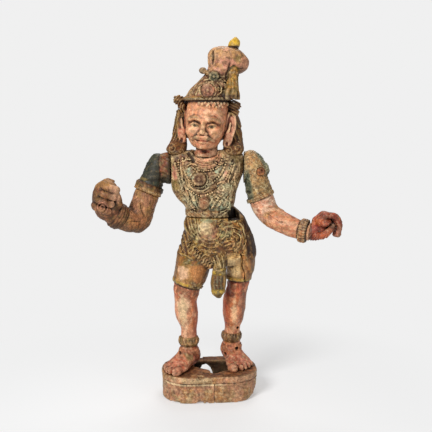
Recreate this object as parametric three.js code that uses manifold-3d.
// A carved and painted wooden temple figure: a standing attendant in a tall cloth cap, on an oval plinth.
// Millimetres, +Z up. The origin is the centre of the plinth's underside, and the figure faces -Y.
// Left and right in names are the figure's own, so its right hand is on the -X side.

import * as THREE from 'three';
import { mergeVertices } from 'three/addons/utils/BufferGeometryUtils.js';
import Module from 'manifold-3d';

const wasm = await Module();
wasm.setup();

// Driving dimensions
const GAP = 0.3;
const PLINTH = { width: 236, depth: 160, corner: 70, height: 66, rim: 18, inset: 1.2, turn: 5 };
const WAIST = 448;
const SHOULDER_SEAM = { right: -92.3, left: 83.2 };
const NECK = { x: -5, y: -5, floor: 592, radius: 31 };
const HEAD = { x: -7, y: -8, z: 665, lean: 5, turn: -6 };
const PEG = { x: 123, z: 558, radius: 9.5, front: -37.5, length: 30 };
// The hips keep a raised lip at their back left corner
const LIP = { x: 69, y: 18, top: 470 };
// The ends of the right sleeve and the left arm: a point on each cut, and the way the limb runs on
const RIGHT_HEM = { point: [-149, -6, 505], along: [-0.37, -0.1, -0.92] };
const LEFT_WRIST = { point: [239, -68, 418], along: [0.94, -0.3, -0.12] };
const TOE_COUNT = 5;
const FINGER_COUNT = 4;
// Where each foot's ankle stands on the plinth, and how far the foot turns outwards from straight ahead
const FEET = {
  right: { ankle: [-50, 12], turn: -35, mirror: -1 },
  left: { ankle: [56, 46], turn: 20, mirror: 1 },
};

const rad = THREE.MathUtils.degToRad;
const vec = (p) => new THREE.Vector3(...p);

// Solids

function solid(geometry) {
  const bare = geometry.clone();
  bare.deleteAttribute('normal');
  bare.deleteAttribute('uv');
  const merged = mergeVertices(bare, 1e-3);
  const mesh = new wasm.Mesh({
    numProp: 3,
    vertProperties: new Float32Array(merged.attributes.position.array),
    triVerts: new Uint32Array(merged.index.array),
  });
  return new wasm.Manifold(mesh);
}

function join(solids) {
  return solids.reduce((whole, next) => whole.add(next));
}

function cut(whole, solids) {
  return solids.reduce((rest, next) => rest.subtract(next), whole);
}

function piece(name, shape, colour, roughness) {
  const { numProp, vertProperties, triVerts } = shape.getMesh();
  const geometry = new THREE.BufferGeometry();
  const positions = new Float32Array((vertProperties.length / numProp) * 3);
  for (let i = 0; i < positions.length / 3; i += 1) {
    for (let axis = 0; axis < 3; axis += 1) positions[3 * i + axis] = vertProperties[numProp * i + axis];
  }
  geometry.setAttribute('position', new THREE.BufferAttribute(positions, 3));
  geometry.setIndex(new THREE.BufferAttribute(new Uint32Array(triVerts), 1));
  geometry.computeVertexNormals();
  const material = new THREE.MeshStandardMaterial({ color: colour, roughness, metalness: 0 });
  const mesh = new THREE.Mesh(geometry, material);
  mesh.name = name;
  return mesh;
}

// A body lofted through stations [x, y, z, half width, half depth, squareness]. Rings stand square to the
// path, or level, and their width runs along the side direction. Squareness 2 is an ellipse.
function loft(stations, { sides = 10, side = [1, 0, 0], level = false } = {}) {
  const rising = Math.sign(stations.at(-1)[2] - stations[0][2]);
  const centres = new THREE.CatmullRomCurve3(stations.map((s) => vec(s.slice(0, 3))), false, 'catmullrom');
  const sizes = new THREE.CatmullRomCurve3(
    stations.map(([, , , w, d, n = 2]) => new THREE.Vector3(w, d, n)),
    false,
    'catmullrom',
  );
  const rings = stations.length - 1;
  const geometry = new THREE.CylinderGeometry(1, 1, 1, sides, rings);
  const position = geometry.attributes.position;
  for (let i = 0; i < position.count; i += 1) {
    const t = Math.round((0.5 - position.getY(i)) * rings) / rings;
    const reach = Math.hypot(position.getX(i), position.getZ(i)) < 0.5 ? 0 : 1;
    const angle = Math.atan2(position.getZ(i), position.getX(i));
    const centre = centres.getPoint(t);
    const size = sizes.getPoint(t);
    const along = level ? new THREE.Vector3(0, 0, rising) : centres.getTangent(t);
    const wide = vec(side).addScaledVector(along, -vec(side).dot(along)).normalize();
    const deep = new THREE.Vector3().crossVectors(along, wide);
    const squared = (value) => Math.sign(value) * Math.abs(value) ** (2 / size.z);
    centre.addScaledVector(wide, reach * size.x * squared(Math.cos(angle)));
    centre.addScaledVector(deep, reach * size.y * squared(Math.sin(angle)));
    position.setXYZ(i, centre.x, centre.y, centre.z);
  }
  return solid(geometry);
}

// An ellipsoid with its half sizes along its own axes, turned by degrees about X, then Y, then Z.
function bead(centre, half, turn = [0, 0, 0]) {
  const geometry = new THREE.OctahedronGeometry(1, 1);
  const turned = new THREE.Quaternion().setFromEuler(new THREE.Euler(...turn.map(rad), 'ZYX'));
  geometry.applyMatrix4(new THREE.Matrix4().compose(vec(centre), turned, vec(half)));
  return solid(geometry);
}

// A round cord or roll swept along a smooth curve through points.
function roll(points, radius, { sides = 5, steps = 4 } = {}) {
  const path = new THREE.CatmullRomCurve3(points.map(vec));
  const section = new THREE.Shape();
  for (let i = 0; i < sides; i += 1) {
    const angle = (2 * Math.PI * i) / sides;
    const corner = [radius * Math.cos(angle), radius * Math.sin(angle)];
    if (i === 0) section.moveTo(...corner);
    else section.lineTo(...corner);
  }
  return solid(new THREE.ExtrudeGeometry(section, { steps, bevelEnabled: false, extrudePath: path }));
}

function box(low, high) {
  const size = low.map((value, axis) => high[axis] - value);
  const geometry = new THREE.BoxGeometry(...size);
  geometry.translate(...low.map((value, axis) => value + size[axis] / 2));
  return solid(geometry);
}

// A flat outline [[x, y], ...] raised from one height to another.
function slab(outline, low, high) {
  const shape = new THREE.Shape(outline.map(([x, y]) => new THREE.Vector2(x, y)));
  const geometry = new THREE.ExtrudeGeometry(shape, { depth: high - low, bevelEnabled: false });
  geometry.translate(0, 0, low);
  return solid(geometry);
}

// Plinth

function ovalOutline(inset) {
  const across = PLINTH.width / 2 - inset;
  const back = PLINTH.depth / 2 - inset;
  const corner = PLINTH.corner - inset;
  const shape = new THREE.Shape();
  shape.moveTo(across, back - corner);
  shape.absarc(across - corner, back - corner, corner, 0, Math.PI / 2);
  shape.absarc(corner - across, back - corner, corner, Math.PI / 2, Math.PI);
  shape.absarc(corner - across, corner - back, corner, Math.PI, 1.5 * Math.PI);
  shape.absarc(across - corner, corner - back, corner, 1.5 * Math.PI, 2 * Math.PI);
  return shape;
}

function course(inset, low, high) {
  const geometry = new THREE.ExtrudeGeometry(ovalOutline(inset), {
    depth: high - low,
    bevelEnabled: false,
    curveSegments: 5,
  });
  geometry.translate(0, 0, low);
  return solid(geometry);
}

function plinth() {
  const { height, rim, inset } = PLINTH;
  const body = join([
    course(inset, 0, height - rim - 1),
    course(inset + 2, height - rim - 8, height - 6),
    course(0, height - rim + 1, height),
  ]);
  // The open hollow between the feet, with a ragged near edge and a floor left below it
  const hollow = [[-36, 46], [-38, 6], [-2, -24], [3, -47], [16, -47], [56, -24], [60, 50]];
  const well = slab(hollow, 14, height + 5);
  // The back wall is broken through below its rim
  const breach = new THREE.Shape([[-27, 14], [16, 14], [12, 34], [4, 48], [-5, 56], [-18, 53], [-27, 44]].map(
    ([x, z]) => new THREE.Vector2(x, z),
  ));
  const hole = new THREE.ExtrudeGeometry(breach, { depth: 70, bevelEnabled: false });
  hole.rotateX(Math.PI / 2);
  hole.translate(0, 110, 0);
  return cut(body, [well, solid(hole)]);
}

// Legs, feet and hips

function foot({ ankle, turn, mirror }) {
  const ground = PLINTH.height + GAP;
  const ahead = new THREE.Vector3(0, -1, 0).applyAxisAngle(new THREE.Vector3(0, 0, 1), rad(turn));
  const across = new THREE.Vector3(1, 0, 0).applyAxisAngle(new THREE.Vector3(0, 0, 1), rad(turn));
  const spot = (forward, sideways, up) => [
    ankle[0] + forward * ahead.x + sideways * mirror * across.x,
    ankle[1] + forward * ahead.y + sideways * mirror * across.y,
    ground + up,
  ];
  const sole = loft(
    [
      [...spot(-27, 0, 15), 12, 14],
      [...spot(-20, 0, 19), 19, 22],
      [...spot(0, 0, 24), 22, 27],
      [...spot(28, 1, 17), 26, 21],
      [...spot(52, 2, 9), 32, 13],
      [...spot(66, 2, 6), 30, 9],
    ],
    { sides: 8, side: across.toArray() },
  );
  const toes = [];
  for (let i = 0; i < TOE_COUNT; i += 1) {
    const big = i === 0;
    const sideways = big ? -20 : -3 + 11.4 * (i - 1);
    const forward = 75 - 1.6 * i * i;
    const half = big ? [11, 18, 10] : [5.5, 15, 7.5];
    toes.push(bead(spot(forward, sideways, big ? 7 : 5), half, [0, 0, turn + mirror * (2 * i - 4)]));
  }
  const whole = join([sole, ...toes]);
  return whole.intersect(box([-200, -200, ground], [200, 200, 300]));
}

// A band standing proud of a limb: four more stations between the plain widths on either side of it
function band([x, y, z], rise, [wide, deep], proud) {
  const at = (step, extra) => [x, y, z + rise * step, wide + extra, deep + extra];
  return [at(-1, 0), at(-0.8, proud), at(0.8, proud), at(1, 0)];
}

function legs() {
  const right = loft([
    [-51, -1, 300, 33, 35], [-56, -2, 262, 32, 34], [-58, 0, 237, 28, 31], [-56, 3, 208, 28.5, 32],
    [-50.5, 9, 158, 20, 23], ...band([-51, 10, 131], -10, [21.5, 24], 5),
    ...band([-51, 11, 106], -5, [22, 25], 4), [-50, 11, 88, 23, 26],
  ]);
  const left = loft([
    [75, 7, 300, 28, 33], [68.5, 10, 262, 26, 31], [63.5, 17, 235, 28.5, 31], [61.5, 24, 205, 28, 32],
    [58.5, 37, 155, 19.7, 23], ...band([57, 40, 134], -10, [22, 24], 5),
    ...band([56.5, 42, 108], -6, [23, 25], 4), [56.5, 43, 88, 23, 26],
  ]);
  return join([right, left, foot(FEET.right), foot(FEET.left)]);
}

function trousers() {
  const right = loft([
    [-24, 0, 392, 38, 50], [-36, -1, 345, 43, 50], [-43, -2, 313, 42, 47], [-51, -2, 284, 38, 44],
    [-53.5, -2, 275, 36.5, 42],
  ]);
  const left = loft([
    [68, 2, 392, 38, 50], [79, 3, 348, 35, 48], [79, 4, 313, 30.5, 43], [76, 5, 287, 28, 40],
    [75.5, 5, 279, 27, 38],
  ]);
  return join([right, left]);
}

function hips() {
  return loft([
    [14.5, 2, WAIST - GAP / 2, 71, 46, 2.4], [16.4, 1, 428, 78.8, 52, 2.4], [20.5, 0, 410, 82, 56, 2.4],
    [21.5, 0, 385, 89, 58, 2.3], [21, 0, 358, 93, 58, 2.3], [19, 0, 331, 84, 46, 2.3],
  ], { sides: 16, level: true });
}

function drapery() {
  const sash = loft([
    [29, -44, 385, 20, 16], [26, -50, 348, 19, 14], [24.5, -50, 320, 21, 12], [23.5, -49, 290, 20, 11],
    [22, -47, 268, 15, 9], [24, -46, 254, 6, 5],
  ], { sides: 8 });
  const beads = roll([[-48, -30, 436], [-36, -46, 415], [0, -57, 397], [40, -53, 415], [56, -42, 436]], 5);
  const swag = roll([[-48, -42, 392], [-32, -53, 368], [6, -60, 352], [40, -57, 362], [62, -50, 380]], 9);
  const upperSwag = roll([[-52, -36, 412], [-34, -50, 388], [8, -60, 372], [44, -56, 384]], 7);
  const rosette = join([bead([56, -51, 388], [20, 13, 19]), bead([56, -61, 388], [9, 7, 9])]);
  return join([sash, beads, swag, upperSwag, rosette]);
}

// The raised lip, or the space it needs when grown
function lip(grow) {
  return loft([
    [LIP.x + 3, LIP.y, WAIST - 22, 16 + grow, 24 + grow, 3],
    [LIP.x + 3, LIP.y, WAIST - 2, 13 + grow, 23 + grow, 3],
    [LIP.x, LIP.y, LIP.top + grow, 8 + grow, 20 + grow, 3],
  ], { sides: 8, level: true });
}

function lowerBody() {
  // A dark pocket in front of the lip
  const pocket = box([50, -34, WAIST - 12], [80, -8, WAIST + 5]);
  return cut(join([legs(), trousers(), hips(), drapery(), lip(0)]), [pocket]);
}

// Torso

function chest() {
  const floor = WAIST + GAP / 2;
  return loft([
    [3, 2, floor, 60.5, 46, 2.3], [3, 2, floor + 14, 62, 47, 2.3], [2, 2, floor + 16, 58, 42, 2.3],
    [-0.7, 1, 476, 62, 43, 2.3], [-6, 0, 490, 70, 45, 2.4], [-10.5, 0, 511, 78, 48, 2.5],
    [-8.5, 0, 535, 84, 50, 2.6], [-5, 0, 559, 89, 50, 2.8], [-4.6, 1, 584, 91, 46, 3.2],
    [-4.5, 2, 599, 90, 38, 3.4], [-4.5, 3, 607, 86, 30, 3],
  ], { sides: 16, level: true });
}

function jewellery() {
  const collars = [0, 1].map((row) => roll([
    [-54 - 8 * row, -26, 598], [-38 - 8 * row, -46, 575 - 18 * row], [-6, -54 + 2 * row, 556 - 24 * row],
    [26 + 8 * row, -46, 575 - 18 * row], [46 + 8 * row, -26, 598],
  ], 5.5, { steps: 5 }));
  const pendants = [
    bead([-26, -50, 541], [16, 10, 15]),
    bead([-26, -58, 541], [8, 5, 8]),
    bead([-14, -45, 480], [13, 11, 16]),
  ];
  const sashes = [
    roll([[-74, -34, 577], [-60, -47, 545], [-45, -49, 510], [-38, -43, 468]], 5.5),
    roll([[64, -34, 577], [44, -49, 545], [20, -50, 512], [4, -44, 470]], 5.5),
  ];
  return join([...collars, ...pendants, ...sashes]);
}

function torso() {
  const socket = loft([
    [NECK.x - 3, NECK.y + 2, NECK.floor, NECK.radius + 5, NECK.radius + 4],
    [NECK.x - 3, NECK.y + 2, 640, NECK.radius + 7, NECK.radius + 5],
  ]);
  const missingCorner = slab([[46, -70], [95, -70], [95, 8], [58, -4], [48, -26]], 400, 467);
  const body = join([chest(), jewellery()]);
  const between = box([SHOULDER_SEAM.right, -90, WAIST + GAP / 2], [SHOULDER_SEAM.left, 90, 640]);
  return cut(body.intersect(between), [socket, missingCorner, lip(0.8)]);
}

// Head, hair and cap

// The face and skull are shaped upright about the head's centre, then leaned and turned into place.
function inHead(shape) {
  const turned = new THREE.Matrix4().makeRotationY(rad(HEAD.lean));
  turned.multiply(new THREE.Matrix4().makeRotationZ(rad(HEAD.turn)));
  turned.setPosition(HEAD.x, HEAD.y, HEAD.z);
  return shape.transform(turned.toArray());
}

function face() {
  const skull = loft([
    [0, -7, -55, 16, 20], [0, -8, -48, 28, 36], [0, -4, -32, 39, 48], [0, -1, -8, 47, 55],
    [0, 2, 24, 50, 58], [0, 4, 60, 45, 52],
  ], { sides: 14, level: true });
  const nose = loft([
    [0, -55, 8, 5, 5], [0, -61, -4, 6.5, 7], [0, -65, -14, 10.5, 9], [0, -60, -20, 8, 7],
  ], { sides: 8 });
  const eyes = [-1, 1].map((s) => bead([s * 20, -49, 2], [11.5, 8, 6.5]));
  const brows = [-1, 1].map((s) => (
    roll([[s * 7, -56, 14], [s * 20, -54, 19], [s * 36, -41, 12]], 3.4, { steps: 3 })
  ));
  const moustache = [-1, 1].map((s) => bead([s * 12, -56, -25], [13, 6, 3.6], [0, s * 14, s * -16]));
  const lips = bead([0, -53, -34], [12, 7, 4.5]);
  return join([skull, nose, ...eyes, ...brows, ...moustache, lips]);
}

function ears() {
  return join([-1, 1].map((s) => loft([
    [s * 50, 4, 22, 5, 9], [s * 54, 5, 12, 8, 15], [s * 53, 2, -16, 7.5, 12], [s * 50, 1, -38, 8, 10],
    [s * 48, 2, -47, 5, 6],
  ], { sides: 8, level: true })));
}

function neck() {
  return loft([
    [NECK.x, NECK.y, NECK.floor + GAP, NECK.radius - 1, NECK.radius - 2],
    [NECK.x, NECK.y, 603, NECK.radius, NECK.radius - 1],
    [NECK.x, NECK.y + 2, 640, NECK.radius, NECK.radius + 2],
  ], { level: true });
}

function hair() {
  const back = loft([
    [-6, 28, 628, 38, 18], [-6, 30, 648, 58, 26], [-6, 28, 680, 62, 32], [-6, 24, 708, 58, 36],
    [-6, 16, 728, 52, 40],
  ], { level: true });
  const rightLock = loft([
    [-68, 14, 700, 14, 18], [-76, 18, 680, 16, 22], [-80, 20, 655, 16, 22], [-80, 20, 632, 18, 20],
    [-82, 18, 618, 22, 18], [-76, 14, 610.5, 12, 10],
  ], { sides: 8, level: true });
  const leftLock = loft([
    [56, 14, 696, 14, 18], [62, 18, 676, 17, 22], [64, 20, 652, 18, 22], [66, 20, 630, 19, 20],
    [64, 18, 618, 22, 17], [58, 14, 610.5, 12, 10],
  ], { sides: 8, level: true });
  const curls = join([
    bead([-72, -6, 727], [13, 15, 12]), bead([-64, -4, 712], [9, 12, 13]),
    bead([58, -4, 714], [19, 16, 12], [0, 8, 0]), bead([60, 0, 699], [13, 13, 12]),
  ]);
  return join([back, rightLock, leftLock, curls]);
}

function cap() {
  const cone = loft([
    [-5, 0, 717, 52, 56], [-5, -1, 721, 61, 64], [-4, -1, 731, 60, 62], [-2, 0, 734, 55, 56],
    [5, 1, 753, 49, 51], [15, 2, 772, 39, 44], [25, 3, 790, 33, 38], [34, 3, 806, 34, 36],
  ], { sides: 14, level: true });
  const bag = loft([
    [22, 3, 782, 22, 26], [31, 3, 798, 33, 34], [40, 3, 815, 43, 39], [42, 3, 832, 41, 37],
    [38, 3, 846, 30, 28], [36, 3, 852, 14, 14],
  ], { sides: 12, level: true });
  const lobe = bead([74, 3, 813], [22, 28, 21]);
  const clasp = roll([[-16, 16, 799], [-18, -10, 796], [-6, -32, 790], [14, -38, 783], [34, -32, 779]], 6);
  const knots = join([
    bead([-14, -12, 795], [9, 11, 8]), bead([12, -37, 783], [12, 9, 10]), bead([4, -49, 749], [15, 9, 15]),
  ]);
  const tail = loft([
    [60, -8, 806, 13, 16], [57, -22, 784, 12, 14], [54, -35, 754, 16, 13], [52, -40, 736, 19, 14],
    [52, -40, 729, 19, 12],
  ], { level: true });
  const bud = loft([
    [57, 2, 842, 9, 9], [59, 1, 852, 14, 14], [61, 0, 862, 13, 12.5], [63.5, 0, 874, 2, 2],
  ], { level: true });
  return join([cone, bag, lobe, clasp, knots, tail, bud]);
}

function head() {
  return join([inHead(join([face(), ears()])), neck(), hair(), cap()]);
}

// Arms. The cuts across them are square to the limb.

function halfSpace(point, towards) {
  const size = 400;
  const geometry = new THREE.BoxGeometry(size, size, size);
  geometry.translate(0, 0, size / 2);
  const up = new THREE.Vector3(0, 0, 1);
  const turned = new THREE.Quaternion().setFromUnitVectors(up, vec(towards).normalize());
  geometry.applyQuaternion(turned);
  geometry.translate(...point);
  return solid(geometry);
}

function rightUpperArm() {
  const seam = SHOULDER_SEAM.right - GAP;
  const stub = loft([
    [seam, 2, 564, 39, 34], [-103, 2, 564, 38, 35], [-118, 1, 562, 33, 32],
  ], { side: [0, 0, 1] });
  const sleeve = loft([
    [-113, 1, 597, 7, 12], [-117, 0, 589, 20, 27], [-125, -1, 567, 26, 34], [-134, -3, 544, 27, 36],
    [-140.5, -4.5, 527.5, 29, 36], [-141.5, -4.7, 525, 34, 40], [-148.6, -6, 507, 34.5, 40.5],
    [-149.8, -6.2, 503, 33, 39],
  ]);
  return join([stub, sleeve]).intersect(halfSpace(RIGHT_HEM.point, RIGHT_HEM.along.map((v) => -v)));
}

function rightForearm() {
  const start = RIGHT_HEM.point.map((value, axis) => value + GAP * RIGHT_HEM.along[axis]);
  const elbow = loft([
    [...start, 30, 34], [-158, -8, 480, 30, 34], [-166, -9, 455, 31, 33], [-171, -10, 436, 29, 29],
    [-175, -12, 420, 21, 21], [-177, -13, 409, 10, 10],
  ]);
  const forearm = loft([
    [-166, -8, 439, 30, 29], [-186, -22, 440, 30, 29.5], [-203, -38, 446, 27, 28],
    [-208, -42, 448.5, 27, 27], [-209.5, -43, 449, 30, 31], [-224, -52, 459, 30, 31],
    [-226, -53.5, 460.5, 26, 26], [-230, -57, 466, 24, 24],
  ], { side: [0, 1, 0] });
  const kept = join([elbow, forearm]).intersect(halfSpace(start, RIGHT_HEM.along));
  return join([kept, fist()]);
}

function fist() {
  const palm = loft([
    [-226, -56, 458, 23, 22], [-237, -60, 474, 32, 27], [-241, -61, 498, 33, 27], [-239, -62, 520, 29, 25],
    [-237, -62, 533, 20, 18], [-236, -62, 541, 9, 9],
  ]);
  // Four fingers bent over onto the palm, the lowest curled into a ring
  const fingers = [];
  for (let i = 0; i < FINGER_COUNT; i += 1) {
    const height = 528 - 16.5 * i;
    const outer = -240 - 7 * i;
    fingers.push(roll([
      [outer + 9, -48, height + 9], [outer - 6, -64, height + 4], [outer, -84, height],
      [outer + 14, -93, height - 4], [outer + 27, -88, height - 8],
    ], 9.2));
  }
  const thumb = roll([[-219, -58, 470], [-211, -70, 486], [-213, -80, 504], [-222, -88, 518]], 9.5);
  return join([palm, ...fingers, thumb]);
}

function leftArm() {
  const seam = SHOULDER_SEAM.left + GAP;
  const stub = loft([
    [seam, 2, 566, 39, 36], [94, 2, 564, 37, 37], [110, 1, 556, 28, 32],
  ], { side: [0, 0, 1] });
  const arm = loft([
    [91, 2, 604, 12, 6], [97, 1, 596, 27, 17], [108, 0, 573, 36, 27], [113, -2, 545, 37, 28],
    [118, -4, 521, 37, 30.5], [123.5, -5, 503, 37, 31.5], [124, -5, 501, 39.5, 34],
    [126, -5.4, 494, 39.5, 34], [126.6, -5.6, 492, 34, 30.5], [131, -8, 479, 33, 30],
    [139, -13, 463, 31, 28.5], [150, -21, 451, 29.5, 27], [164, -32, 443, 28, 26.5],
    [188, -48, 432, 25, 25], [214, -59, 422.5, 22, 22.5], [216, -59.8, 422, 26.5, 28],
    [232, -65.5, 419, 26.5, 28], [233.5, -66, 418.8, 21.5, 21.5], [...LEFT_WRIST.point, 21.5, 21],
  ], { side: [0, 1, 0] });
  const swell = bead([126, 3, 562], [22, 29, 19], [0, 40, 0]);
  const hole = new THREE.CylinderGeometry(PEG.radius + GAP, PEG.radius + GAP, PEG.length + 40, 14);
  hole.translate(PEG.x, PEG.front + PEG.length + GAP - (PEG.length + 40) / 2, PEG.z);
  const whole = join([stub, arm, swell]);
  const kept = whole.intersect(box([seam, -200, 300], [400, 200, 640]));
  return cut(kept.intersect(halfSpace(LEFT_WRIST.point, LEFT_WRIST.along.map((v) => -v))), [solid(hole)]);
}

function leftHand() {
  const start = LEFT_WRIST.point.map((value, axis) => value + GAP * LEFT_WRIST.along[axis]);
  const palm = loft([
    [...start, 20, 20], [248, -72, 421, 22, 19], [260, -76, 434, 26, 17], [272, -78, 448, 21, 15],
    [280, -78, 458, 12, 11],
  ], { side: [0, 0.2, 1] });
  // Four fingers rise from the knuckles and hang down beyond the palm
  const fingers = [];
  for (let i = 0; i < FINGER_COUNT; i += 1) {
    const deep = -99 + 14.6 * i;
    const drop = 5 * i;
    fingers.push(roll([
      [258, deep, 447 + i], [272, deep, 463 - i], [290, deep - 3, 461 - drop], [302, deep - 5, 441 - drop],
      [298, deep - 8, 418 - drop + 4 * i],
    ], 7.4));
  }
  const thumb = roll([[248, -84, 414], [262, -96, 414], [276, -102, 424], [288, -100, 437]], 8.2);
  const hollow = bead([268, -78, 446], [20, 33, 15]);
  const whole = join([palm, hollow, ...fingers, thumb]);
  return whole.intersect(halfSpace(start, LEFT_WRIST.along));
}

function peg() {
  const pin = new THREE.CylinderGeometry(PEG.radius, PEG.radius, PEG.length, 14);
  pin.translate(PEG.x, PEG.front + PEG.length / 2, PEG.z);
  return solid(pin);
}

// The whole figure on its plinth

const base = new THREE.Group();
base.rotation.z = rad(PLINTH.turn);
base.add(piece('plinth', plinth(), 0x8a6a50, 0.85));

const figure = new THREE.Group();
figure.add(
  piece('lower_body', lowerBody(), 0xb08a50, 0.7),
  piece('torso', torso(), 0x9a8a68, 0.75),
  piece('head', head(), 0xb87860, 0.7),
  piece('right_upper_arm', rightUpperArm(), 0x55564a, 0.6),
  piece('right_forearm', rightForearm(), 0x8a6448, 0.75),
  piece('left_arm', leftArm(), 0xc09070, 0.65),
  piece('left_hand', leftHand(), 0xa85a48, 0.6),
  piece('shoulder_peg', peg(), 0x8a4a2c, 0.8),
);

const part = new THREE.Group();
part.add(base, figure);

export default part;
